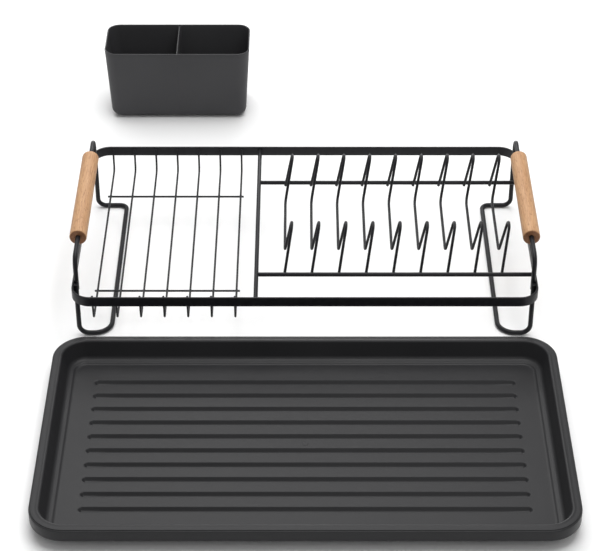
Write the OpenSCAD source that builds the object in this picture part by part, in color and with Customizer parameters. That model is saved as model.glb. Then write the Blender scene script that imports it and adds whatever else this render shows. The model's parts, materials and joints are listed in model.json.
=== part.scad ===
// Dish drying rack set: a welded wire rack with two wooden grips, its drip tray and a cutlery cup,
// laid out in a row on one worktop: tray in front, rack in the middle, cup behind its left bay.
// Millimetres. X runs along the rack, Y from the tray to the cup, Z up from the worktop.

/* [Layout] */
// Gap between the tray's rear edge and the rack's front
tray_gap = 9; // [5:1:40]
// Gap between the rack's rear and the cup's front
cup_gap = 165; // [20:1:200]
// Middle of the cup along the rack
cup_x = -153; // [-160:1:160]

/* [Rim] */
// Length of the rim, outside
rim_l = 480; // [440:5:520]
// Depth of the rim, outside
rim_w = 290; // [270:5:320]
// Height of the rim's upper edge
rim_top = 66; // [60:1:90]
// Height of the rim's flat strip
strip_h = 11; // [8:1:14]
// Thickness of the rim's flat strip
strip_t = 2; // [1.5:0.5:3]
// Outer corner radius of the rim
rim_r = 20; // [14:1:24]

/* [Rods and wires] */
// Diameter of the leg and handle rods
rod_d = 5; // [4:0.5:6]
// Diameter of the plate bars
bar_d = 4.5; // [4:0.5:5]
// Diameter of the bar that parts the two bays
divider_d = 4.5; // [4:0.5:5]
// Diameter of the plate wires
plate_wire_d = 3; // [2.5:0.5:3.5]
// Diameter of the basket wires and their cross wires
basket_wire_d = 2.2; // [1.8:0.2:2.6]
// How far welded wires sink into each other
weld = 0.2; // [0.1:0.1:0.4]

/* [Plate bay] */
// Place of the bar that parts the two bays
divider_x = -50.5; // [-60:0.5:-40]
// Height of the bars' axes
bar_z = 61; // [58:1:62]
// Place of the rear plate bar
rear_bar_y = 77.5; // [70:0.5:85]
// Place of the front plate bar
front_bar_y = -97; // [-105:0.5:-90]
// Place of the foot of the first plate wire
first_plate_x = -21; // [-30:0.5:-15]
// Distance between plate wires
plate_pitch = 28.3; // [26:0.1:29]
// Height of the plate wires' loops
loop_top = 103; // [90:1:110]
// Height of the plate wires' flat run
plate_run_z = 60; // [56:1:62]
// Lean of the plate wires to the right, in degrees
plate_lean = 10.5; // [6:0.5:14]

/* [Basket bay] */
// Place of the first basket wire
first_basket_x = -217.4; // [-220:0.2:-214]
// Distance between basket wires
basket_pitch = 24.3; // [23:0.1:25]
// Height of the basket wires' axes along their run
basket_z = 36; // [30:1:40]
// Place of the rear cross wire
rear_cross_y = 90; // [70:1:110]
// Place of the front cross wire
front_cross_y = -89; // [-110:1:-70]

/* [Legs and handles] */
// Distance from the middle to a leg's run along the worktop
skid_x = 203; // [190:1:210]
// Distance from the middle to a leg's uprights
upright_y = 120; // [112:1:122]
// Height of the grips' axes
grip_z = 94; // [88:1:110]
// Diameter of the wooden grips
grip_d = 18; // [16:0.5:22]
// Length of the wooden grips
grip_l = 155; // [140:1:165]
// Radial clearance between a grip's bore and its rod
grip_clear = 0.1; // [0.05:0.01:0.1]

/* [Drip tray] */
// Length of the tray over its lip
tray_l = 512; // [505:1:540]
// Depth of the tray over its lip
tray_w = 292; // [290:1:320]
// Height of the tray's lip
tray_h = 25; // [20:1:32]
// Width of the tray's lip
lip_w = 9.5; // [8:0.5:12]
// Height of the lip's down-turned skirt
skirt_h = 13; // [8:1:16]
// Wall thickness of the tray
tray_t = 2; // [1.6:0.2:2.6]
// Number of drain grooves
groove_count = 10; // [6:1:10]
// Distance between drain grooves
groove_pitch = 21; // [18:0.5:22]
// Length of a drain groove
groove_l = 426; // [380:1:440]
// Width of a drain groove
groove_w = 7; // [5:0.5:9]

/* [Cutlery cup] */
// Length of the cup at its mouth
cup_l = 174; // [150:1:178]
// Depth of the cup at its mouth
cup_w = 75; // [60:1:90]
// Height of the cup
cup_h = 92; // [80:1:110]
// Corner radius of the cup at its mouth
cup_r = 15; // [10:1:20]
// How far each side of the cup draws in towards its base
cup_draft = 5; // [3:0.5:7]
// Wall thickness of the cup
cup_t = 1.8; // [1.4:0.2:2.4]

/* [Hidden] */
$fn = 48;
plate_names = [for (i = [1:9]) str("plate_wire_", i)];
basket_names = [for (i = [1:7]) str("basket_wire_", i)];

coat = [0.09, 0.09, 0.1];
plastic = [0.22, 0.22, 0.23];
beech = [0.8, 0.62, 0.42];

// The whole row is centred on the origin.
row_w = tray_w + tray_gap + rim_w + cup_gap + cup_w;
tray_y = -row_w / 2 + tray_w / 2;
rack_y = tray_y + tray_w / 2 + tray_gap + rim_w / 2;
cup_y = row_w / 2 - cup_w / 2;

// Straight stretches of a bent rod end this far inside its bends, which are that much thicker.
bend_lap = 0.3;
bend_swell = 0.06;

// Rods stand against the inside of the strip.
rod_x = rim_l / 2 - strip_t - rod_d / 2 + weld;
handle_y = upright_y - rod_d + weld;
ground_z = (rod_d + bend_swell) / 2;
wire_wall_y = rim_w / 2 - strip_t - basket_wire_d / 2 + weld;

// How far a cut runs past the face that it opens
past = 0.01;

// Tray levels: ribs stand on the worktop, and the floor lies on them.
rib_h = 2;
floor_z = rib_h + tray_t;
groove_z = 1.6;
groove_wall = 1.5;
wall_slope = 6;
tray_corner = 34;
floor_l = tray_l - 2 * (lip_w + wall_slope);
floor_w = tray_w - 2 * (lip_w + wall_slope);
floor_r = tray_corner - lip_w - wall_slope;

function unit(v) = v / norm(v);
function turn(a, b) = acos(max(-1, min(1, a * b)));
function dirs(pts) = [for (i = [0:len(pts) - 2]) unit(pts[i + 1] - pts[i])];
// Length that a bend takes off the straight stretches on both sides of a corner
function cut(a, b, r) = r * tan(turn(a, b) / 2);

// Straight round rod from a to b
module rod(a, b, d) {
  way = unit(b - a);
  side = unit(cross(abs(way.z) < 0.9 ? [0, 0, 1] : [1, 0, 0], way));
  up = cross(way, side);
  multmatrix([
    [side.x, up.x, way.x, a.x],
    [side.y, up.y, way.y, a.y],
    [side.z, up.z, way.z, a.z],
    [0, 0, 0, 1]
  ])
    cylinder(h = norm(b - a), d = d);
}

// Torus bend of radius r that starts at p along a and ends along b, a hair thicker than the rod
module bend(p, a, b, r, d) {
  axis = unit(cross(a, b));
  out = cross(a, axis);
  mid = p - r * out;
  multmatrix([
    [out.x, a.x, axis.x, mid.x],
    [out.y, a.y, axis.y, mid.y],
    [out.z, a.z, axis.z, mid.z],
    [0, 0, 0, 1]
  ])
    rotate_extrude(angle = turn(a, b)) translate([r, 0]) circle(d = d + bend_swell);
}

// Round rod through the corners pts, bent at each inner corner to the matching radius in bends
module bent_rod(pts, bends, d) {
  ways = dirs(pts);
  last = len(pts) - 1;
  cuts = [for (i = [0:last]) i == 0 || i == last ? 0 : cut(ways[i - 1], ways[i], bends[i - 1])];
  for (i = [0:last - 1]) {
    from = max(0, cuts[i] - bend_lap);
    to = max(0, cuts[i + 1] - bend_lap);
    rod(pts[i] + from * ways[i], pts[i + 1] - to * ways[i], d);
  }
  for (i = [1:last - 1])
    bend(pts[i] - cuts[i] * ways[i - 1], ways[i - 1], ways[i], bends[i - 1], d);
}

// Flat rectangle with round corners, centred
module rounded(l, w, r) {
  square([l - 2 * r, w], center = true);
  square([l, w - 2 * r], center = true);
  for (x = [-1, 1], y = [-1, 1])
    translate([x * (l / 2 - r), y * (w / 2 - r)]) circle(r);
}

// Straight-sided block with round corners that widens by grow on every side from its base to its top
module flared(l, w, r, grow, h) {
  x = l / 2 - r;
  y = w / 2 - r;
  for (sx = [-1, 1], sy = [-1, 1])
    translate([sx * x, sy * y]) cylinder(h = h, r1 = r, r2 = r + grow);
  translate([x, 0]) rotate([90, 0, -90]) linear_extrude(2 * x)
    polygon([[-y - r, 0], [y + r, 0], [y + r + grow, h], [-y - r - grow, h]]);
  translate([0, y]) rotate([90, 0, 0]) linear_extrude(2 * y)
    polygon([[-x - r, 0], [x + r, 0], [x + r + grow, h], [-x - r - grow, h]]);
}

// Bar with round ends along X
module slot_bar(l, w, h) {
  translate([-(l - w) / 2, -w / 2, 0]) cube([l - w, w, h]);
  for (x = [-1, 1])
    translate([x * (l - w) / 2, 0, 0]) cylinder(h = h, d = w);
}

// Puts a child at each drain groove
module at_grooves() {
  for (i = [0:groove_count - 1])
    translate([0, (i - (groove_count - 1) / 2) * groove_pitch, 0]) children();
}

// Pan with sloped walls, a flat lip, a down-turned skirt and drain grooves pressed through its floor
module drip_tray() {
  wall_h = tray_h - rib_h;
  color(plastic) translate([0, tray_y, 0])
    difference() {
      union() {
        translate([0, 0, rib_h])
          flared(floor_l + 2 * tray_t, floor_w + 2 * tray_t, floor_r + tray_t, wall_slope, wall_h);
        translate([0, 0, tray_h - tray_t])
          linear_extrude(tray_t) rounded(tray_l, tray_w, tray_corner);
        translate([0, 0, tray_h - skirt_h])
          linear_extrude(skirt_h) difference() {
            rounded(tray_l, tray_w, tray_corner);
            rounded(tray_l - 2 * tray_t, tray_w - 2 * tray_t, tray_corner - tray_t);
          }
        at_grooves() slot_bar(groove_l + 2 * groove_wall, groove_w + 2 * groove_wall, floor_z);
      }
      translate([0, 0, floor_z])
        flared(floor_l, floor_w, floor_r, wall_slope, tray_h - floor_z + past);
      translate([0, 0, groove_z])
        at_grooves() slot_bar(groove_l, groove_w, floor_z);
    }
}

// Tapered cup with one thin wall across its middle
module cutlery_cup() {
  base_l = cup_l - 2 * cup_draft;
  base_w = cup_w - 2 * cup_draft;
  base_r = cup_r - cup_draft;
  foot_h = 7;
  foot_in = 4;
  inner_l = base_l - 2 * cup_t;
  inner_w = base_w - 2 * cup_t;
  inner_r = base_r - cup_t;
  floor_h = cup_t + 0.2;
  cove_in = foot_in - 0.5;
  wall_drop = 2;
  color(plastic) translate([cup_x, cup_y, 0]) {
    difference() {
      union() {
        translate([0, 0, foot_h])
          flared(base_l, base_w, base_r, cup_draft, cup_h - foot_h);
        flared(base_l - 2 * foot_in, base_w - 2 * foot_in, base_r - foot_in, foot_in, foot_h);
      }
      translate([0, 0, foot_h]) flared(inner_l, inner_w, inner_r, cup_draft, cup_h);
      translate([0, 0, floor_h])
        flared(inner_l - 2 * foot_in, inner_w - 2 * foot_in, inner_r - foot_in + 1, cove_in, foot_h - cup_t);
    }
    translate([-cup_t / 2, -base_w / 2 + 1, cup_t]) cube([cup_t, base_w - 2, cup_h - cup_t - wall_drop]);
  }
}

// Flat strip bent into a ring with round corners
module rim() {
  color(coat) translate([0, rack_y, rim_top - strip_h])
    linear_extrude(strip_h) difference() {
      rounded(rim_l, rim_w, rim_r);
      rounded(rim_l - 2 * strip_t, rim_w - 2 * strip_t, rim_r - strip_t);
    }
}

// Bar from front to back between the plate bay and the basket bay
module divider_bar() {
  reach = rim_w / 2 - strip_t + weld;
  color(coat) translate([divider_x, rack_y, bar_z])
    rod([0, -reach, 0], [0, reach, 0], divider_d);
}

// Bar along the plate bay, from the divider to the right side of the rim
module plate_bar(y) {
  color(coat) translate([0, rack_y + y, bar_z])
    rod([divider_x + divider_d / 2 - weld, 0, 0], [rim_l / 2 - strip_t + weld, 0, 0], bar_d);
}

// Wire with a tall loop at the rear bar, a flat run, and a tall loop that comes down to the front bar
module plate_wire(i) {
  rear_y = rear_bar_y - (bar_d + plate_wire_d) / 2 + weld;
  foot_z = bar_z - 2;
  loop_w = 12;
  run_from = 41.5;
  run_to = -52;
  front_y = -55;
  front_top = loop_top - 1.5;
  corners = [
    [0, rear_y, foot_z],
    [0, rear_y, loop_top],
    [0, rear_y - loop_w, loop_top],
    [0, run_from, plate_run_z],
    [0, run_to, plate_run_z],
    [0, front_y, front_top],
    [0, front_y - loop_w, front_top],
    [0, front_bar_y + 1.9, bar_z - 3.6]
  ];
  color(coat) translate([first_plate_x + (i - 1) * plate_pitch, rack_y, plate_run_z])
    rotate([0, plate_lean, 0]) translate([0, 0, -plate_run_z])
      bent_rod(corners, [6.5, 6.5, 12, 5, 6.5, 6.5], plate_wire_d);
}

// Thin wire that hangs from the rear of the rim, runs forward and turns up inside the front of the rim
module basket_wire(i) {
  slant = 4;
  corners = [
    [0, wire_wall_y, rim_top - 2],
    [0, wire_wall_y, basket_z],
    [0, -wire_wall_y + slant, basket_z],
    [0, -wire_wall_y, rim_top - strip_h + 1],
    [0, -wire_wall_y, rim_top + 0.2]
  ];
  color(coat) translate([first_basket_x + (i - 1) * basket_pitch, rack_y, 0])
    bent_rod(corners, [6, 4, 6], basket_wire_d);
}

// Thin wire across the basket wires, welded under them
module cross_wire(y) {
  over = 3.4;
  color(coat) translate([0, rack_y + y, basket_z - basket_wire_d + weld])
    rod([first_basket_x - over, 0, 0], [first_basket_x + 6 * basket_pitch + over, 0, 0], basket_wire_d);
}

// Leg: down inside the rim at the front, in along the worktop, back along it and up inside the rim
module leg_rod() {
  end_z = rim_top - 1;
  corners = [
    [rod_x, -upright_y, end_z],
    [rod_x, -upright_y, ground_z],
    [skid_x, -upright_y, ground_z],
    [skid_x, upright_y, ground_z],
    [rod_x, upright_y, ground_z],
    [rod_x, upright_y, end_z]
  ];
  color(coat) translate([0, rack_y, 0])
    bent_rod(corners, [10, 18, 8, 9], rod_d);
}

// Handle: up from inside the rim, along the side through the grip, and down inside the rim
module handle_rod() {
  foot_z = rim_top - strip_h + 0.5;
  corners = [
    [rod_x, -handle_y, foot_z],
    [rod_x, -handle_y, grip_z],
    [rod_x, handle_y, grip_z],
    [rod_x, handle_y, foot_z]
  ];
  color(coat) translate([0, rack_y, 0])
    bent_rod(corners, [10, 10], rod_d);
}

// Wooden cylinder that turns on the handle rod, with broken edges and a bell mouth at each end
module grip() {
  edge = 1.4;
  bore_r = rod_d / 2 + grip_clear;
  mouth = 1.1;
  r = grip_d / 2;
  color(beech) translate([rod_x, rack_y, grip_z]) rotate([-90, 0, 0])
    difference() {
      union() {
        translate([0, 0, -grip_l / 2]) cylinder(h = edge, r1 = r - edge, r2 = r);
        translate([0, 0, -grip_l / 2 + edge]) cylinder(h = grip_l - 2 * edge, r = r);
        translate([0, 0, grip_l / 2 - edge]) cylinder(h = edge, r1 = r, r2 = r - edge);
      }
      translate([0, 0, -grip_l / 2 - 1]) cylinder(h = grip_l + 2, r = bore_r);
      for (s = [0, 1])
        mirror([0, 0, s]) translate([0, 0, grip_l / 2 - mouth])
          cylinder(h = mouth + past, r1 = bore_r, r2 = bore_r + mouth);
    }
}

module left() {
  mirror([1, 0, 0]) children();
}

drip_tray();
cutlery_cup();
rim();
divider_bar();
plate_bar(rear_bar_y);  // rear_plate_bar
plate_bar(front_bar_y);  // front_plate_bar
for (i = [1:9]) plate_wire(i);
for (i = [1:7]) basket_wire(i);
cross_wire(rear_cross_y);  // rear_cross_wire
cross_wire(front_cross_y);  // front_cross_wire
left() leg_rod();  // left_leg_rod
leg_rod();  // right_leg_rod
left() handle_rod();  // left_handle_rod
handle_rod();  // right_handle_rod
left() grip();  // left_grip
grip();  // right_grip
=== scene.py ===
"""Looks of the dish drying rack set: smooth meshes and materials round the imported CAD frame.

Shapes are drawn in millimetres and become metres when their mesh is made. The rack, the tray and
the cup are each drawn round their own middle, which comes from the CAD frame.
"""

import json
import math

import bmesh
import bpy
from mathutils import Matrix, Vector

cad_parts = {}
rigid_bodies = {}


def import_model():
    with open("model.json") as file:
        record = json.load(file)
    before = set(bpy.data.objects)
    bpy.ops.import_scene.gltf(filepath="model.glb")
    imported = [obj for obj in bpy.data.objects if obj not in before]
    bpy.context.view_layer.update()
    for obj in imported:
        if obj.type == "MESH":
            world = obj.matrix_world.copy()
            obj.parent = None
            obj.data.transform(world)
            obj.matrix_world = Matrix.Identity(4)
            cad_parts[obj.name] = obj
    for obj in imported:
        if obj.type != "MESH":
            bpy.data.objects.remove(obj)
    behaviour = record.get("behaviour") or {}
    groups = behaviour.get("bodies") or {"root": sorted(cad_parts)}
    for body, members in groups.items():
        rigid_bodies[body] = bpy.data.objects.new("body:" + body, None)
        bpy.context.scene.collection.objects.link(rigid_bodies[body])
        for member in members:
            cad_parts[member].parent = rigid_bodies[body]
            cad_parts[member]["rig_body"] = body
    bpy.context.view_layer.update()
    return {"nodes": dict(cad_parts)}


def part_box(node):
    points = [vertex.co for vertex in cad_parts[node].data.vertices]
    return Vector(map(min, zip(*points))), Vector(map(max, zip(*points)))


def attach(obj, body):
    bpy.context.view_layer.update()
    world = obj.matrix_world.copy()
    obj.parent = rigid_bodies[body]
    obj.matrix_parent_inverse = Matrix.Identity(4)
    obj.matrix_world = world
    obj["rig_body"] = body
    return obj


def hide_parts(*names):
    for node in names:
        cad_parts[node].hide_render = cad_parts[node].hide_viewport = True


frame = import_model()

MM = 0.001

# Camera, from the rack's middle, and light
CAMERA_OFFSET = Vector((-5, -1785, 1278))
CAMERA_PITCH = 35.82
LENS = 120
SENSOR_W = 36
SKY_FRONT = 0.2
SKY_REAR = 0.62
FLOOR_SIZE = 14000
FLOOR_DROP = 0.2

# Soft lights, all aimed at the origin: name, place in metres, side in metres, watts
SOFTBOXES = [
    ("softbox_rear", Vector((-0.35, 1.3, 2.2)), 2.2, 34),
    ("softbox_low", Vector((0, 2.6, 0.6)), 1.2, 15),
    ("softbox_top", Vector((0.3, -0.05, 2.5)), 1.5, 32),
    ("softbox_front", Vector((0.5, -1.9, 1.6)), 1.2, 6),
]

# Plastics, by the ends of their colour's spread
TRAY_DARK = (0.0205, 0.0205, 0.022)
TRAY_LIGHT = (0.024, 0.024, 0.0255)
TRAY_ROUGHNESS = 0.4
CUP_DARK = (0.051, 0.051, 0.054)
CUP_LIGHT = (0.058, 0.058, 0.061)
CUP_ROUGHNESS = 0.5

# Rim
STRIP_H = 11
STRIP_T = 2
RIM_R = 20
RIM_CORNER_STEPS = 16
STRIP_EDGE = 0.55

# Rods and wires, by diameter
ROD_D = 5
BAR_D = 4.5
DIVIDER_D = 4.5
PLATE_WIRE_D = 3
BASKET_WIRE_D = 2.2
WELD = 0.2
WIRE_SIDES = 16
ROD_SIDES = 28
END_BEVEL = 0.4
BEND_STEP = math.radians(7)
BEAD_SIDES = 12
BEAD_LEVELS = 7
SHARP_ANGLE = math.radians(35)

# Half sizes of the weld beads along X, Y and Z
DIVIDER_END_BEAD = (2.9, 0.8, 2.9)
BAR_AT_DIVIDER_BEAD = (0.7, 2.7, 1.9)
BAR_AT_RIM_BEAD = (0.8, 2.9, 2.9)
CROSS_WIRE_BEAD = (1.5, 1.5, 0.7)
PLATE_REAR_BEAD = (1.9, 0.8, 2.1)
PLATE_FRONT_BEAD = (1.9, 1.1, 1.8)
BASKET_END_BEAD = (1.7, 0.55, 3.4)
ROD_AT_RIM_BEAD = (0.6, 2.3, 4.3)
HANDLE_SEAM_BEAD = (1.6, 0.7, 4.4)

# Plate bay
BAR_Z = 61
REAR_BAR_Y = 77.5
FRONT_BAR_Y = -97
FIRST_PLATE_X = -21
PLATE_PITCH = 28.3
PLATE_COUNT = 9
PLATE_RUN_Z = 60
LOOP_TOP = 103
LOOP_W = 12
LOOP_BEND_R = 6.5
FRONT_LOOP_Y = -55
FRONT_LOOP_TOP = 101.5
PLATE_RUN_REAR_Y = 41.5
PLATE_RUN_REAR_BEND_R = 12
PLATE_RUN_FRONT_Y = -52
PLATE_RUN_FRONT_BEND_R = 5
PLATE_REAR_END_Z = 59
PLATE_FRONT_END = (-95.1, 57.4)
PLATE_LEAN = math.radians(10.5)

# Basket bay
FIRST_BASKET_X = -217.4
BASKET_PITCH = 24.3
BASKET_COUNT = 7
BASKET_Z = 36
CROSS_WIRES = {"rear_cross_wire": 90, "front_cross_wire": -89}
CROSS_OVERHANG = 3.4
BASKET_FRONT_SLANT = 4

# Legs, handles and grips
SKID_X = 203
UPRIGHT_Y = 120
GRIP_Z = 94
GRIP_R = 9
GRIP_BORE_R = 2.6
GRIP_MOUTH = 1.1
GRIP_EDGE = 1.5
GRIP_SIDES = 72
HANDLE_BEND_R = 10
LEG_BEND_RADII = [10, 18, 8, 9]

# Tray
LIP_W = 9.5
LIP_INNER_R = 2.4
LIP_LAND_DROP = 0.3
LIP_TREAD_W = 1.6
LIP_TREAD_DROP = 1
LIP_EDGE_R = 0.9
SKIRT_EDGE_R = 0.6
TRAY_CORNER = 34
WALL_SLOPE = 6
TRAY_T = 2
FLOOR_Z = 4
FLOOR_UNDER_Z = 2
SKIRT_H = 13
WALL_FOOT_R = 5
LEDGE_TILT = 12
LEDGE_W = 2
LEDGE_EDGE_R = 3
LEDGE_FOOT_R = 4
LEDGE_FOOT_TILT = 40
GROOVE_COUNT = 10
GROOVE_PITCH = 21
GROOVE_HALF = 209.5
GROOVE_DEPTH = 2.9
GROOVE_BED = 0.9
GROOVE_EDGE = 3.9
GROOVE_UNDER_BED = 3.5
GROOVE_UNDER_EDGE = 5.2
GATE_R = 3.4
GATE_H = 0.35

# Cup
CUP_CORNER = 15
CUP_DRAFT = 5
CUP_DRAFT_H = 85
CUP_WALL_TOP = 1.6
CUP_WALL_BASE = 2.1
CUP_BASE_R = 12
CUP_BASE_ARC = 78
CUP_COVE_R = 7
CUP_FLOOR_Z = 2.4
CUP_DISH = 0.8
CUP_LEVELS = [24, 46, 68, 84]
SINK_DEPTH = 0.22
SINK_HALF_W = 1.6
DIVIDER_T = 1.7
DIVIDER_TOP_T = 1.1
DIVIDER_GAP = 2


# ---------------------------------------------------------------- mesh tools

class Shell:
    """Vertices and faces of one piece. Each add_ function below adds one closed surface to it."""

    def __init__(self):
        self.verts = []
        self.faces = []

    def add_points(self, points):
        start = len(self.verts)
        self.verts.extend(points)
        return list(range(start, len(self.verts)))

    def join_rings(self, one, two):
        """Quads between two rings of the same number of points."""
        count = len(one)
        for k in range(count):
            after = (k + 1) % count
            self.faces.append((one[k], one[after], two[after], two[k]))

    def cap(self, ring, centre):
        """Fan of triangles from a ring to a point."""
        middle = self.add_points([centre])[0]
        for k in range(len(ring)):
            self.faces.append((ring[k], ring[(k + 1) % len(ring)], middle))


def make_piece(node, shell, material, shift):
    """Turns a shell into the mesh that stands for a CAD node and rides on that node's body."""
    mesh = bpy.data.meshes.new(node + "_model")
    mesh.from_pydata([(Vector(p) + shift) * MM for p in shell.verts], [], shell.faces)
    work = bmesh.new()
    work.from_mesh(mesh)
    bmesh.ops.recalc_face_normals(work, faces=work.faces)
    work.to_mesh(mesh)
    work.free()
    mesh.shade_smooth()
    mesh.set_sharp_from_angle(angle=SHARP_ANGLE)
    mesh.materials.append(material)
    piece = bpy.data.objects.new(mesh.name, mesh)
    bpy.context.scene.collection.objects.link(piece)
    bpy.context.view_layer.update()
    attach(piece, frame["nodes"][node]["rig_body"])
    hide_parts(node)


def node_middle(node):
    """Middle of a CAD node in plan, at the worktop's height, in millimetres."""
    low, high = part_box(node)
    return Vector(((low.x + high.x) / 2, (low.y + high.y) / 2, 0)) / MM


def node_size(node):
    """Size of a CAD node along X, Y and Z, in millimetres."""
    low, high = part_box(node)
    return (high - low) / MM


def arc(centre, radius, start, end, steps):
    """Points (distance, height) round a centre, from one angle to another, in degrees."""
    points = []
    for k in range(steps + 1):
        angle = math.radians(start + (end - start) * k / steps)
        points.append((centre[0] + radius * math.cos(angle), centre[1] + radius * math.sin(angle)))
    return points


# ---------------------------------------------------------------- rods and wires

def bent_path(corners, radii):
    """Points along a rod that is bent at each inner corner to the matching radius."""
    corners = [Vector(c) for c in corners]
    ways = [(b - a).normalized() for a, b in zip(corners, corners[1:])]
    path = [corners[0]]
    for corner, way, next_way, radius in zip(corners[1:], ways, ways[1:], radii):
        angle = way.angle(next_way)
        start = corner - way * radius * math.tan(angle / 2)
        inward = (next_way - way * way.dot(next_way)).normalized()
        steps = max(2, math.ceil(angle / BEND_STEP))
        for k in range(steps + 1):
            turned = angle * k / steps
            path.append(start + radius * (math.sin(turned) * way + (1 - math.cos(turned)) * inward))
    path.append(corners[-1])
    return path


def add_tube(shell, path, diameter, sides=WIRE_SIDES):
    """Round rod along a path, with cut ends whose edges are slightly broken."""
    radius = diameter / 2
    ways = [(b - a).normalized() for a, b in zip(path, path[1:])]
    bevel = [(END_BEVEL * (1 - math.sin(t)), END_BEVEL * (1 - math.cos(t))) for t in (0, 0.5, 1.05)]
    stations = [(path[0] + back * ways[0], ways[0], radius - drop) for drop, back in bevel]
    stations.append((path[0] + END_BEVEL * ways[0], ways[0], radius))
    for point, way, next_way in zip(path[1:], ways, ways[1:]):
        stations.append((point, (way + next_way).normalized(), radius))
    stations.append((path[-1] - END_BEVEL * ways[-1], ways[-1], radius))
    stations.extend((path[-1] - back * ways[-1], ways[-1], radius - drop) for drop, back in reversed(bevel))
    side = ways[0].orthogonal().normalized()
    rings = []
    for point, way, r in stations:
        side = (side - way * side.dot(way)).normalized()
        up = way.cross(side)
        angles = [2 * math.pi * k / sides for k in range(sides)]
        rings.append(shell.add_points([point + r * (math.cos(a) * side + math.sin(a) * up) for a in angles]))
    for one, two in zip(rings, rings[1:]):
        shell.join_rings(one, two)
    shell.cap(rings[0], path[0])
    shell.cap(rings[-1], path[-1])


def add_bead(shell, centre, radii, sides=BEAD_SIDES):
    """Small smooth lump, such as a weld bead under the coating."""
    centre = Vector(centre)
    rings = []
    for level in range(1, BEAD_LEVELS):
        tilt = math.pi * level / BEAD_LEVELS
        round_part = math.sin(tilt)
        ring = []
        for k in range(sides):
            angle = 2 * math.pi * k / sides
            ring.append(centre + Vector((
                radii[0] * round_part * math.cos(angle),
                radii[1] * round_part * math.sin(angle),
                radii[2] * math.cos(tilt),
            )))
        rings.append(shell.add_points(ring))
    for one, two in zip(rings, rings[1:]):
        shell.join_rings(one, two)
    shell.cap(rings[0], centre + Vector((0, 0, radii[2])))
    shell.cap(rings[-1], centre - Vector((0, 0, radii[2])))


# ---------------------------------------------------------------- round-cornered shells

class Pan:
    """Closed shell between an upper and a lower grid of the same plan, joined by a profile.

    The plan is a rectangle with round corners. xs and ys are grid lines inside the straight parts
    of its sides, and each corner is a quarter disc of corner_steps by corner_steps cells."""

    def __init__(self, xs, ys, corner, corner_steps=8):
        self.columns = self.lines(xs, corner_steps)
        self.rows = self.lines(ys, corner_steps)
        self.corner = corner

    @staticmethod
    def lines(values, steps):
        """Grid lines as (place on the straight part, share of the way out into the corner)."""
        before = [(values[0], -k / steps) for k in range(steps, 0, -1)]
        after = [(values[-1], k / steps) for k in range(1, steps + 1)]
        return before + [(v, 0) for v in values] + after

    def place(self, i, j):
        """Plan position of a grid point: corner squares are mapped on quarter discs."""
        x, u = self.columns[i]
        y, v = self.rows[j]
        return x + self.corner * u * math.sqrt(1 - v * v / 2), y + self.corner * v * math.sqrt(1 - u * u / 2)

    def edge(self):
        """Grid points round the outside, counterclockwise, each with its outward direction."""
        last_i = len(self.columns) - 1
        last_j = len(self.rows) - 1
        walk = [(i, 0) for i in range(last_i)] + [(last_i, j) for j in range(last_j)]
        walk += [(i, last_j) for i in range(last_i, 0, -1)] + [(0, j) for j in range(last_j, 0, -1)]
        found = []
        for i, j in walk:
            x, u = self.columns[i]
            y, v = self.rows[j]
            if u and v:
                px, py = self.place(i, j)
                out = Vector((px - x, py - y)).normalized()
            else:
                out = Vector((u, v)).normalized()
            found.append((i, j, out))
        return found

    def build(self, shell, upper, lower, profile, dent=None):
        """upper and lower give heights at a plan position; profile is a list of (outset, height)."""
        grids = []
        for height in (upper, lower):
            grid = []
            for i in range(len(self.columns)):
                points = [self.place(i, j) for j in range(len(self.rows))]
                grid.append(shell.add_points([Vector((x, y, height(x, y))) for x, y in points]))
            for one, two in zip(grid, grid[1:]):
                for k in range(len(one) - 1):
                    shell.faces.append((one[k], two[k], two[k + 1], one[k + 1]))
            grids.append(grid)
        edge = self.edge()
        rings = [[grids[0][i][j] for i, j, _ in edge]]
        for outset, height in profile:
            ring = []
            for i, j, out in edge:
                x, y = self.place(i, j)
                pull = dent(x, height) if dent and abs(out.y) > 0.99 else 0
                ring.append(Vector((x + (outset - pull) * out.x, y + (outset - pull) * out.y, height)))
            rings.append(shell.add_points(ring))
        rings.append([grids[1][i][j] for i, j, _ in edge])
        for one, two in zip(rings, rings[1:]):
            shell.join_rings(one, two)


def spread(start, end, gap):
    """Evenly spaced values from start to end, about gap apart, both ends included."""
    count = max(1, round(abs(end - start) / gap))
    return [start + (end - start) * k / count for k in range(count + 1)]


def fall(distance, inner, outer, softness=1.0):
    """1 inside inner, 0 outside outer, and a fall between them, from straight (0) to smooth (1)."""
    share = min(1, max(0, (outer - distance) / (outer - inner)))
    smooth = share * share * (3 - 2 * share)
    return share + softness * (smooth - share)


# ---------------------------------------------------------------- materials

def node(tree, kind, inputs=(), **settings):
    """New shader node; inputs are values or the sockets that feed it."""
    made = tree.nodes.new("ShaderNode" + kind)
    for key, value in settings.items():
        setattr(made, key, value)
    for key, value in dict(inputs).items():
        if isinstance(value, bpy.types.NodeSocket):
            tree.links.new(value, made.inputs[key])
        else:
            made.inputs[key].default_value = value
    return made


def noise(tree, place, scale, detail=3.0, roughness=0.5):
    inputs = {"Vector": place, "Scale": scale, "Detail": detail, "Roughness": roughness}
    return node(tree, "TexNoise", inputs).outputs["Fac"]


def ramp(tree, value, stops):
    """Colour ramp; stops are (position, colour)."""
    made = node(tree, "ValToRGB", {"Fac": value})
    elements = made.color_ramp.elements
    while len(elements) < len(stops):
        elements.new(1.0)
    for element, (position, colour) in zip(elements, stops):
        element.position = position
        element.color = (*colour, 1)
    return made.outputs["Color"]


def spread_value(tree, value, low, high):
    """Maps 0.3..0.7, where a noise mostly lies, on low..high."""
    inputs = {"Value": value, "From Min": 0.3, "From Max": 0.7, "To Min": low, "To Max": high}
    return node(tree, "MapRange", inputs).outputs["Result"]


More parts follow.
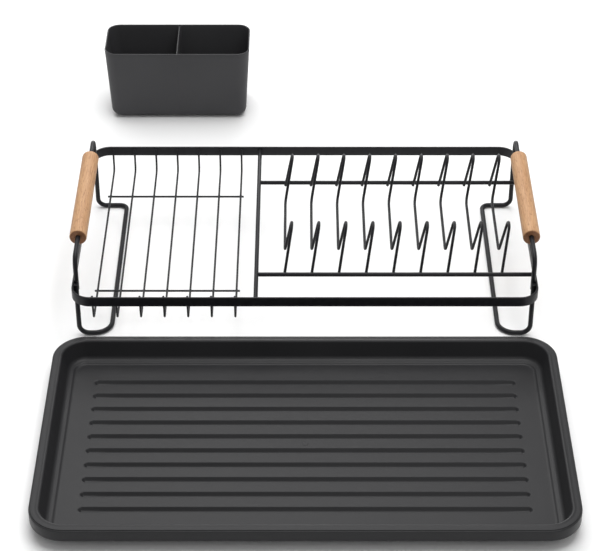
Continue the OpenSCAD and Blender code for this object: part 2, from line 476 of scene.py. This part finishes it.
def stretched(tree, scale, place=(0, 0, 0)):
    """Object coordinates, scaled differently along each axis."""
    coordinates = node(tree, "TexCoord").outputs["Object"]
    mapping = node(tree, "Mapping", {"Vector": coordinates, "Scale": scale, "Location": place})
    return mapping.outputs["Vector"]


def start_material(name, specular):
    """New material with its node tree and its shader."""
    material = bpy.data.materials.new(name)
    material.use_nodes = True
    tree = material.node_tree
    shader = tree.nodes["Principled BSDF"]
    shader.inputs["Specular IOR Level"].default_value = specular
    return material, tree, shader


def bump(tree, shader, height, distance):
    """Surface relief from a noise; distance is the relief's depth in metres."""
    inputs = {"Height": height, "Distance": distance, "Strength": 1.0}
    tree.links.new(node(tree, "Bump", inputs).outputs["Normal"], shader.inputs["Normal"])


def black_coat():
    """Satin black powder coat with a fine orange peel."""
    material, tree, shader = start_material("black_coat", 0.2)
    place = stretched(tree, (1, 1, 1))
    mottle = noise(tree, place, 260, 4.0)
    peel = noise(tree, place, 1100, 2.0)
    colour = ramp(tree, mottle, [(0.3, (0.010, 0.010, 0.012)), (0.7, (0.015, 0.015, 0.0175))])
    tree.links.new(colour, shader.inputs["Base Color"])
    tree.links.new(spread_value(tree, mottle, 0.36, 0.46), shader.inputs["Roughness"])
    bump(tree, shader, peel, 0.00006)
    return material


def moulded_plastic(name, dark, light, rough):
    """Dark grey polypropylene with a fine spark-eroded texture and a soft sheen."""
    material, tree, shader = start_material(name, 0.2)
    place = stretched(tree, (1, 1, 1))
    cloud = noise(tree, place, 14, 3.0)
    grain = noise(tree, place, 2400, 3.0, 0.6)
    colour = ramp(tree, cloud, [(0.3, dark), (0.7, light)])
    speckle = spread_value(tree, grain, 0.9, 1.1)
    mixed = node(tree, "VectorMath", {0: colour}, operation="SCALE")
    tree.links.new(speckle, mixed.inputs["Scale"])
    tree.links.new(mixed.outputs["Vector"], shader.inputs["Base Color"])
    tree.links.new(spread_value(tree, cloud, rough - 0.03, rough + 0.03), shader.inputs["Roughness"])
    bump(tree, shader, grain, 0.00004)
    return material


def beech():
    """Turned beech: pale fibres and growth bands along the grip, short brown flecks, dark end grain."""
    material, tree, shader = start_material("beech", 0.35)
    along = stretched(tree, (1, 0.035, 1))
    fibre = noise(tree, along, 1500, 5.0, 0.6)
    rings = {
        "Vector": stretched(tree, (1, 0.12, 1), (0.11, 0.03, -0.045)),
        "Scale": 26,
        "Distortion": 2.2,
        "Detail": 2.0,
        "Detail Scale": 5.0,
    }
    bands = node(tree, "TexWave", rings, wave_type="RINGS", rings_direction="Y").outputs["Fac"]
    tone = noise(tree, stretched(tree, (1, 0.15, 1)), 90, 2.0)
    flecks = noise(tree, stretched(tree, (1, 0.2, 1)), 800, 1.0, 0.4)
    fibre_tones = [(0.3, (0.38, 0.2, 0.095)), (0.5, (0.52, 0.297, 0.15)), (0.7, (0.61, 0.37, 0.2))]
    pale = ramp(tree, fibre, fibre_tones)
    warm = node(tree, "Mix", {"Factor": 0.16}, data_type="RGBA", blend_type="MULTIPLY")
    tree.links.new(pale, warm.inputs["A"])
    band_tint = ramp(tree, bands, [(0.0, (0.72, 0.60, 0.48)), (1.0, (1.0, 1.0, 1.0))])
    tree.links.new(band_tint, warm.inputs["B"])
    toned = node(tree, "Mix", {"Factor": 0.5}, data_type="RGBA", blend_type="MULTIPLY")
    tree.links.new(warm.outputs["Result"], toned.inputs["A"])
    tone_tint = ramp(tree, tone, [(0.3, (0.86, 0.80, 0.74)), (0.7, (1.0, 1.0, 1.0))])
    tree.links.new(tone_tint, toned.inputs["B"])
    marked = node(tree, "Mix", {}, data_type="RGBA", blend_type="MIX")
    fleck_mask = ramp(tree, flecks, [(0.6, (0, 0, 0)), (0.68, (0.6, 0.6, 0.6))])
    tree.links.new(fleck_mask, marked.inputs["Factor"])
    tree.links.new(toned.outputs["Result"], marked.inputs["A"])
    marked.inputs["B"].default_value = (0.3, 0.15, 0.07, 1)
    normal = node(tree, "SeparateXYZ", {"Vector": node(tree, "TexCoord").outputs["Normal"]})
    facing = node(tree, "Math", {0: normal.outputs["Y"]}, operation="ABSOLUTE").outputs["Value"]
    ended = node(tree, "Mix", {"Factor": 1.0}, data_type="RGBA", blend_type="MULTIPLY")
    tree.links.new(marked.outputs["Result"], ended.inputs["A"])
    end_tint = ramp(tree, facing, [(0.6, (1, 1, 1)), (0.95, (0.5, 0.4, 0.36))])
    tree.links.new(end_tint, ended.inputs["B"])
    tree.links.new(ended.outputs["Result"], shader.inputs["Base Color"])
    tree.links.new(spread_value(tree, fibre, 0.62, 0.48), shader.inputs["Roughness"])
    bump(tree, shader, fibre, 0.00007)
    return material


def floor_white():
    material, tree, shader = start_material("floor_white", 0.2)
    place = stretched(tree, (1, 1, 1))
    colour = ramp(tree, noise(tree, place, 3, 2.0), [(0.3, (0.93, 0.93, 0.93)), (0.7, (0.95, 0.95, 0.95))])
    tree.links.new(colour, shader.inputs["Base Color"])
    shader.inputs["Roughness"].default_value = 0.9
    return material


# ---------------------------------------------------------------- rack

def build_rim(material, middle):
    """Flat strip bent into a ring: its rounded section goes round a rectangle with round corners."""
    size = node_size("rim")
    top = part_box("rim")[1].z / MM
    half_t = STRIP_T / 2
    corner = RIM_R - half_t
    straight_x = size.x / 2 - RIM_R
    straight_y = size.y / 2 - RIM_R
    line = []
    for sx, sy, start in ((1, 1, 0), (-1, 1, 90), (-1, -1, 180), (1, -1, 270)):
        for k in range(RIM_CORNER_STEPS + 1):
            angle = math.radians(start + 90 * k / RIM_CORNER_STEPS)
            out = Vector((math.cos(angle), math.sin(angle), 0))
            line.append((Vector((sx * straight_x, sy * straight_y, 0)) + corner * out, out))
    section = []
    for sd, sz, start in ((1, 1, 0), (-1, 1, 90), (-1, -1, 180), (1, -1, 270)):
        centre = (sd * (half_t - STRIP_EDGE), sz * (STRIP_H / 2 - STRIP_EDGE))
        section += arc(centre, STRIP_EDGE, start, start + 90, 4)
    shell = Shell()
    rings = []
    for place, out in line:
        points = [place + d * out + Vector((0, 0, top - STRIP_H / 2 + z)) for d, z in section]
        rings.append(shell.add_points(points))
    for one, two in zip(rings, rings[1:] + rings[:1]):
        shell.join_rings(one, two)
    make_piece("rim", shell, material, middle)


def build_bars(material, middle):
    """The bar between the bays, the two bars under the plate wires, and the basket's cross wires."""
    rim = node_size("rim")
    reach_y = rim.y / 2 - STRIP_T
    reach_x = rim.x / 2 - STRIP_T
    low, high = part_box("divider_bar")
    divider_x = (low.x + high.x) / 2 / MM
    shell = Shell()
    ends = [Vector((divider_x, side * (reach_y + WELD), BAR_Z)) for side in (-1, 1)]
    add_tube(shell, ends, DIVIDER_D, ROD_SIDES)
    for side in (-1, 1):
        add_bead(shell, (divider_x, side * reach_y, BAR_Z), DIVIDER_END_BEAD)
    make_piece("divider_bar", shell, material, middle)
    for name, y in (("rear_plate_bar", REAR_BAR_Y), ("front_plate_bar", FRONT_BAR_Y)):
        left = divider_x + DIVIDER_D / 2 - WELD
        shell = Shell()
        add_tube(shell, [Vector((left, y, BAR_Z)), Vector((reach_x + WELD, y, BAR_Z))], BAR_D, ROD_SIDES)
        add_bead(shell, (left + WELD, y, BAR_Z), BAR_AT_DIVIDER_BEAD)
        add_bead(shell, (reach_x, y, BAR_Z), BAR_AT_RIM_BEAD)
        make_piece(name, shell, material, middle)
    for name, y in CROSS_WIRES.items():
        z = BASKET_Z - BASKET_WIRE_D + WELD
        last_x = FIRST_BASKET_X + (BASKET_COUNT - 1) * BASKET_PITCH
        ends = [Vector((FIRST_BASKET_X - CROSS_OVERHANG, y, z)), Vector((last_x + CROSS_OVERHANG, y, z))]
        shell = Shell()
        add_tube(shell, ends, BASKET_WIRE_D)
        bead_z = BASKET_Z - (BASKET_WIRE_D - WELD) / 2
        for i in range(BASKET_COUNT):
            add_bead(shell, (FIRST_BASKET_X + i * BASKET_PITCH, y, bead_z), CROSS_WIRE_BEAD)
        make_piece(name, shell, material, middle)


def build_plate_wires(material, middle):
    """Nine wires with a tall loop behind, a flat run, and a tall loop in front, leaning right."""
    rear_y = REAR_BAR_Y - (BAR_D + PLATE_WIRE_D) / 2 + WELD
    corners = [
        (0, rear_y, PLATE_REAR_END_Z),
        (0, rear_y, LOOP_TOP),
        (0, rear_y - LOOP_W, LOOP_TOP),
        (0, PLATE_RUN_REAR_Y, PLATE_RUN_Z),
        (0, PLATE_RUN_FRONT_Y, PLATE_RUN_Z),
        (0, FRONT_LOOP_Y, FRONT_LOOP_TOP),
        (0, FRONT_LOOP_Y - LOOP_W, FRONT_LOOP_TOP),
        (0, *PLATE_FRONT_END),
    ]
    loop_bends = [LOOP_BEND_R, LOOP_BEND_R]
    path = bent_path(corners, loop_bends + [PLATE_RUN_REAR_BEND_R, PLATE_RUN_FRONT_BEND_R] + loop_bends)
    to_run = Matrix.Translation((0, 0, PLATE_RUN_Z))
    lean = to_run @ Matrix.Rotation(PLATE_LEAN, 4, "Y") @ to_run.inverted()
    path = [lean @ point for point in path]
    foot_way = (path[-2] - path[-1]).normalized()
    for i in range(PLATE_COUNT):
        shift = Vector((FIRST_PLATE_X + i * PLATE_PITCH, 0, 0))
        shell = Shell()
        add_tube(shell, [point + shift for point in path], PLATE_WIRE_D, 18)
        rear_spot = path[0] + Vector((0, PLATE_WIRE_D / 2, 1.7))
        front_spot = path[-1] + foot_way * 2 + Vector((0, -1.2, 0.85))
        add_bead(shell, rear_spot + shift, PLATE_REAR_BEAD)
        add_bead(shell, front_spot + shift, PLATE_FRONT_BEAD)
        make_piece(f"plate_wire_{i + 1}", shell, material, middle)


def build_basket_wires(material, middle):
    """Seven thin wires that hang from the rim behind, run forward and turn up inside it in front."""
    rim = node_size("rim")
    rim_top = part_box("rim")[1].z / MM
    inner_y = rim.y / 2 - STRIP_T
    wall_y = inner_y - BASKET_WIRE_D / 2 + WELD
    corners = [
        (0, wall_y, rim_top - 2),
        (0, wall_y, BASKET_Z),
        (0, -wall_y + BASKET_FRONT_SLANT, BASKET_Z),
        (0, -wall_y, rim_top - STRIP_H + 1),
        (0, -wall_y, rim_top + 0.2),
    ]
    path = bent_path(corners, [6, 4, 6])
    for i in range(BASKET_COUNT):
        shift = Vector((FIRST_BASKET_X + i * BASKET_PITCH, 0, 0))
        shell = Shell()
        add_tube(shell, [point + shift for point in path], BASKET_WIRE_D)
        for side in (-1, 1):
            spot = Vector((0, side * inner_y, rim_top - STRIP_H / 2))
            add_bead(shell, spot + shift, BASKET_END_BEAD)
        make_piece(f"basket_wire_{i + 1}", shell, material, middle)


def build_legs_and_handles(material, middle):
    """Rods inside the rim on both sides: legs go down to the worktop, handles up through the grips."""
    rim = node_size("rim")
    rim_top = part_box("rim")[1].z / MM
    inner_x = rim.x / 2 - STRIP_T
    rod_x = inner_x - ROD_D / 2 + WELD
    handle_y = UPRIGHT_Y - ROD_D + WELD
    ground_z = ROD_D / 2 + 0.03
    handle_foot = rim_top - STRIP_H + 0.5
    for side, name in ((-1, "left"), (1, "right")):
        leg = bent_path([
            (side * rod_x, -UPRIGHT_Y, rim_top - 1),
            (side * rod_x, -UPRIGHT_Y, ground_z),
            (side * SKID_X, -UPRIGHT_Y, ground_z),
            (side * SKID_X, UPRIGHT_Y, ground_z),
            (side * rod_x, UPRIGHT_Y, ground_z),
            (side * rod_x, UPRIGHT_Y, rim_top - 1),
        ], LEG_BEND_RADII)
        handle = bent_path([
            (side * rod_x, -handle_y, handle_foot),
            (side * rod_x, -handle_y, GRIP_Z),
            (side * rod_x, handle_y, GRIP_Z),
            (side * rod_x, handle_y, handle_foot),
        ], [HANDLE_BEND_R, HANDLE_BEND_R])
        for part, path, y in (("leg_rod", leg, UPRIGHT_Y), ("handle_rod", handle, handle_y)):
            shell = Shell()
            add_tube(shell, path, ROD_D, ROD_SIDES)
            for end in (-1, 1):
                add_bead(shell, (side * inner_x, end * y, rim_top - STRIP_H / 2), ROD_AT_RIM_BEAD)
            if part == "handle_rod":
                for end in (-1, 1):
                    seam_y = end * (UPRIGHT_Y - ROD_D / 2)
                    add_bead(shell, (side * rod_x, seam_y, rim_top - STRIP_H / 2), HANDLE_SEAM_BEAD)
            make_piece(f"{name}_{part}", shell, material, middle)


def build_grips(material, middle):
    """Turned wooden cylinders with rounded edges and a bore that opens in a bell mouth."""
    for name in ("left_grip", "right_grip"):
        low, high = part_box(name)
        axis = (low + high) / 2 / MM - middle
        half = (high.y - low.y) / 2 / MM
        bore_end = GRIP_BORE_R + GRIP_MOUTH
        mouth = arc((bore_end, half - GRIP_MOUTH), GRIP_MOUTH, 180, 90, 4)
        edge = arc((GRIP_R - GRIP_EDGE, half - GRIP_EDGE), GRIP_EDGE, 90, 0, 6)
        side = [(GRIP_R, y) for y in spread(half - GRIP_EDGE, -half + GRIP_EDGE, 8)[1:-1]]
        one_end = mouth + [(bore_end + 1.4, half), (bore_end + 2.8, half)] + edge
        section = one_end + side + [(r, -y) for r, y in reversed(one_end)]
        section += [(GRIP_BORE_R, y) for y in spread(-half + GRIP_MOUTH, half - GRIP_MOUTH, 20)[1:-1]]
        shell = Shell()
        rings = []
        for k in range(GRIP_SIDES):
            angle = 2 * math.pi * k / GRIP_SIDES
            out = Vector((math.cos(angle), 0, math.sin(angle)))
            rings.append(shell.add_points([axis + r * out + Vector((0, y, 0)) for r, y in section]))
        for one, two in zip(rings, rings[1:] + rings[:1]):
            shell.join_rings(one, two)
        make_piece(name, shell, material, middle)


# ---------------------------------------------------------------- tray

def groove_distance(x, y):
    """Distance in plan from the middle line of the nearest groove."""
    place = y / GROOVE_PITCH + (GROOVE_COUNT - 1) / 2
    nearest = min(GROOVE_COUNT - 1, max(0, round(place)))
    return math.hypot(max(0, abs(x) - GROOVE_HALF), (place - nearest) * GROOVE_PITCH)


def tray_top(x, y):
    """Height of the floor's upper side, with its grooves."""
    return FLOOR_Z - GROOVE_DEPTH * fall(groove_distance(x, y), GROOVE_BED, GROOVE_EDGE, 0.4)


def tray_under(x, y):
    """Height of the floor's underside; the grooves stand on the worktop as ribs."""
    return FLOOR_UNDER_Z * (1 - fall(groove_distance(x, y), GROOVE_UNDER_BED, GROOVE_UNDER_EDGE))


def wall_foot(lean):
    """From the flat floor over a small sloped ledge to the foot of the wall, which leans outwards."""
    points = arc((0, FLOOR_Z + LEDGE_FOOT_R), LEDGE_FOOT_R, -90, LEDGE_FOOT_TILT - 90, 4)[1:]
    for radius, start, end in ((-LEDGE_EDGE_R, LEDGE_FOOT_TILT, LEDGE_TILT), (WALL_FOOT_R, LEDGE_TILT, lean)):
        x, z = points[-1]
        angle = math.radians(start)
        centre = (x - radius * math.sin(angle), z + radius * math.cos(angle))
        points += arc(centre, radius, start - 90, end - 90, 6)[1:]
        if radius < 0:
            x, z = points[-1]
            tilt = math.radians(LEDGE_TILT)
            points.append((x + LEDGE_W * math.cos(tilt), z + LEDGE_W * math.sin(tilt)))
    return points


def tray_profile(height):
    """Section from the edge of the flat floor, over the lip, and back under to the floor.

    Also gives how far the lip's outer edge stands out from the floor's edge."""
    rise = height - FLOOR_Z
    lean = math.degrees(math.atan2(rise, WALL_SLOPE))
    points = wall_foot(lean)
    wall_x, wall_z = points[-1]
    foot = wall_x - (wall_z - FLOOR_Z) * WALL_SLOPE / rise
    lip_in = foot + WALL_SLOPE
    lip_out = lip_in + LIP_W
    inner_centre = (lip_in + LIP_INNER_R * math.tan(math.radians(lean / 2)), height - LIP_INNER_R)
    step = lip_out - LIP_TREAD_W
    tread = height - LIP_TREAD_DROP
    points += arc(inner_centre, LIP_INNER_R, 90 + lean, 90, 7)
    bead_end = inner_centre[0] + 1.3
    land = height - LIP_LAND_DROP
    points += [(bead_end - 0.8, height - 0.06), (bead_end - 0.4, height - 0.17), (bead_end, land)]
    points += [(step - 3, land), (step - 0.5, land), (step - 0.12, land - 0.08), (step, land - 0.3)]
    points += [(step + 0.05, tread - 0.1), (step + 0.3, tread - 0.18)]
    points += arc((lip_out - LIP_EDGE_R, tread - LIP_EDGE_R), LIP_EDGE_R, 90, 0, 5)
    skirt_low = height - SKIRT_H
    edge_z = skirt_low + SKIRT_EDGE_R
    points += [(lip_out, height - 5), (lip_out, edge_z)]
    points += arc((lip_out - SKIRT_EDGE_R, edge_z), SKIRT_EDGE_R, 0, -90, 3)[1:]
    points += arc((lip_out - TRAY_T + SKIRT_EDGE_R, edge_z), SKIRT_EDGE_R, -90, -180, 3)
    points += [(lip_out - TRAY_T, height - 4), (lip_out - TRAY_T - 0.6, height - TRAY_T - 1)]
    points += [(lip_out - TRAY_T - 1.6, height - TRAY_T), (lip_in + TRAY_T + 1.5, height - TRAY_T)]
    outer = foot / math.tan(math.radians(lean / 2)) + TRAY_T
    wall = arc((0, FLOOR_Z - TRAY_T + outer), outer, lean - 90, -90, 9)
    top_x = wall[0][0] + (height - TRAY_T - 1.5 - wall[0][1]) / math.tan(math.radians(lean))
    points += [(top_x + 0.5, height - TRAY_T - 0.5), (top_x, height - TRAY_T - 1.5)]
    return points + wall[:-1], lip_out


def build_tray(material):
    """Grooved pan with a small ledge round its floor, sloped walls, a flat lip and a skirt."""
    size = node_size("drip_tray")
    profile, lip_out = tray_profile(size.z)
    corner = TRAY_CORNER - lip_out
    straight_x = size.x / 2 - TRAY_CORNER
    straight_y = size.y / 2 - TRAY_CORNER
    # Grid lines lie close together across each groove's walls and round its ends.
    offsets = [0.9, 1.5, 2.0, 2.6, 3.2, 3.9, 4.5, 5.2]
    ends = [GROOVE_HALF + o for o in [0] + offsets]
    right = spread(0, GROOVE_HALF, 20)[:-1] + ends + [straight_x]
    xs = [-x for x in reversed(right[1:])] + right
    ys = [-straight_y]
    for k in range(GROOVE_COUNT):
        centre = (k - (GROOVE_COUNT - 1) / 2) * GROOVE_PITCH
        ys += [centre - o for o in reversed(offsets)] + [centre] + [centre + o for o in offsets]
        ys.append(centre + GROOVE_PITCH / 2)
    ys.append(straight_y)
    shell = Shell()
    Pan(xs, ys, corner).build(shell, tray_top, tray_under, profile)
    add_bead(shell, (0, 0, FLOOR_Z), (GATE_R, GATE_R, GATE_H), 24)
    make_piece("drip_tray", shell, material, node_middle("drip_tray"))


# ---------------------------------------------------------------- cup

def cup_inset(z, height):
    """How far the outer wall stands in from the mouth's outline at a height."""
    return CUP_DRAFT * (height - z) / CUP_DRAFT_H


def cup_inner_inset(z, height):
    """The same for the inner wall, which thins towards the mouth and turns into the floor in a cove."""
    wall = CUP_WALL_BASE + (CUP_WALL_TOP - CUP_WALL_BASE) * z / height
    into_cove = min(1, max(0, (CUP_FLOOR_Z + CUP_COVE_R - z) / CUP_COVE_R))
    return cup_inset(z, height) + wall + CUP_COVE_R * (1 - math.sqrt(1 - into_cove ** 2))


def cup_profile(height, plan_inset):
    """Section from the edge of the inner floor, over the mouth, to the edge of the underside."""
    points = []

    def out(inset, z):
        points.append((plan_inset - inset, z))

    for k in range(7):
        z = CUP_FLOOR_Z + CUP_COVE_R * (1 - math.cos(math.radians(90 * k / 6)))
        out(cup_inner_inset(z, height), z)
    for z in CUP_LEVELS:
        out(cup_inner_inset(z, height), z)
    half = CUP_WALL_TOP / 2
    for d, z in arc((0, 0), half, 180, 0, 8):
        out(half - d + 0.02, height - half + z)
    for z in CUP_LEVELS[::-1] + [CUP_BASE_R + 4]:
        out(cup_inset(z, height), z)
    base = cup_inset(CUP_BASE_R, height)
    for k in range(10):
        angle = math.radians(CUP_BASE_ARC * k / 9)
        out(base + CUP_BASE_R * (1 - math.cos(angle)), CUP_BASE_R * (1 - math.sin(angle)))
    return points


def sink_line(x, z):
    """Shallow sink mark on the front and the back, where the middle wall joins them."""
    return SINK_DEPTH * math.exp(-(x / SINK_HALF_W) ** 2) * fall(abs(z - 46), 30, 42)


def add_middle_wall(shell, height, half_w):
    """Thin wall from front to back, thickened where it runs into the cup's walls."""
    top = height - DIVIDER_GAP
    rings = []
    into_wall = 0.8
    low = [CUP_FLOOR_Z + rise for rise in (-0.8, 0.2, 0.8, 1.8, 3.2, 5)]
    for z in low + CUP_LEVELS[:3] + [top - 0.5, top - 0.15, top]:
        reach = half_w - cup_inner_inset(z, height) + into_wall
        slim = 0.4 if z == top else 0.1 if z > top - 0.3 else 0
        half_t = (DIVIDER_T + (DIVIDER_TOP_T - DIVIDER_T) * z / height) / 2 - slim
        outline = []
        for back, flare in ((0, 2.0), (0.9, 1.5), (1.5, 0.75), (2.3, 0.25), (3.4, 0), (reach / 2, 0)):
            outline.append((half_t + flare * (1 - slim), reach - back))
        right = outline + [(x, -y) for x, y in reversed(outline)]
        loop = right + [(-x, y) for x, y in reversed(right)]
        rings.append(shell.add_points([Vector((x, y, z)) for x, y in loop]))
    for one, two in zip(rings, rings[1:]):
        shell.join_rings(one, two)
    for ring in (rings[0], rings[-1]):
        count = len(ring)
        for k in range(count // 2 - 1):
            shell.faces.append((ring[k], ring[k + 1], ring[count - 2 - k], ring[count - 1 - k]))


def build_cup(material):
    """Tapered cup with a round base edge, thin walls and a wall across its middle."""
    size = node_size("cutlery_cup")
    plan_inset = CUP_CORNER - 0.3
    straight_x = size.x / 2 - CUP_CORNER
    straight_y = size.y / 2 - CUP_CORNER
    # Grid lines lie close together at the sink line and round the dished underside's edge.
    right = [0, 0.6, 1.2, 2, 3.2, 6, 16, 32, 50, 54, 58, 62, 66, straight_x]
    xs = [-x for x in reversed(right[1:])] + right
    ys = spread(-straight_y, straight_y, 5)
    shell = Shell()
    pan = Pan(xs, ys, CUP_CORNER - plan_inset)
    pan.build(
        shell,
        lambda x, y: CUP_FLOOR_Z,
        lambda x, y: CUP_DISH * fall(abs(x), 50, 66) * fall(abs(y), 8, 17),
        cup_profile(size.z, plan_inset),
        sink_line,
    )
    add_middle_wall(shell, size.z, size.y / 2)
    make_piece("cutlery_cup", shell, material, node_middle("cutlery_cup"))


# ---------------------------------------------------------------- stage

def build_stage():
    """Plain white floor, four soft lights, and a sky that is brighter behind the object."""
    half = FLOOR_SIZE * MM / 2
    mesh = bpy.data.meshes.new("floor")
    corners = [(-half, -half, 0), (half, -half, 0), (half, half, 0), (-half, half, 0)]
    mesh.from_pydata(corners, [], [(0, 1, 2, 3)])
    mesh.materials.append(floor_white())
    floor = bpy.data.objects.new("floor", mesh)
    floor.location.z = -FLOOR_DROP * MM
    bpy.context.scene.collection.objects.link(floor)
    for name, place, side, watts in SOFTBOXES:
        light = bpy.data.lights.new(name, "AREA")
        light.shape = "SQUARE"
        light.size = side
        light.energy = watts
        lamp = bpy.data.objects.new(name, light)
        lamp.location = place
        lamp.rotation_euler = (-place).to_track_quat("-Z", "Y").to_euler()
        lamp.visible_camera = False
        bpy.context.scene.collection.objects.link(lamp)
    world = bpy.data.worlds.new("studio")
    world.use_nodes = True
    tree = world.node_tree
    way = node(tree, "SeparateXYZ", {"Vector": node(tree, "TexCoord").outputs["Generated"]})
    shade = {
        "Value": way.outputs["Y"],
        "From Min": -1,
        "From Max": 1,
        "To Min": SKY_FRONT,
        "To Max": SKY_REAR,
    }
    strength = node(tree, "MapRange", shade).outputs["Result"]
    tree.links.new(strength, tree.nodes["Background"].inputs["Strength"])
    tree.nodes["Background"].inputs["Color"].default_value = (1, 1, 1, 1)
    bpy.context.scene.world = world
    bpy.context.scene.view_settings.view_transform = "Standard"


def build_camera(middle):
    """Long lens in front of the rack, looking down on it."""
    data = bpy.data.cameras.new("camera")
    data.sensor_fit = "HORIZONTAL"
    data.sensor_width = SENSOR_W
    data.lens = LENS
    camera = bpy.data.objects.new("camera", data)
    camera.location = (middle + CAMERA_OFFSET) * MM
    camera.rotation_euler = (math.radians(90 - CAMERA_PITCH), 0, 0)
    bpy.context.scene.collection.objects.link(camera)
    bpy.context.scene.camera = camera


def main():
    rack_middle = node_middle("rim")
    coat = black_coat()
    build_rim(coat, rack_middle)
    build_bars(coat, rack_middle)
    build_plate_wires(coat, rack_middle)
    build_basket_wires(coat, rack_middle)
    build_legs_and_handles(coat, rack_middle)
    build_grips(beech(), rack_middle)
    build_tray(moulded_plastic("tray_plastic", TRAY_DARK, TRAY_LIGHT, TRAY_ROUGHNESS))
    build_cup(moulded_plastic("cup_plastic", CUP_DARK, CUP_LIGHT, CUP_ROUGHNESS))
    build_stage()
    build_camera(rack_middle)


main()
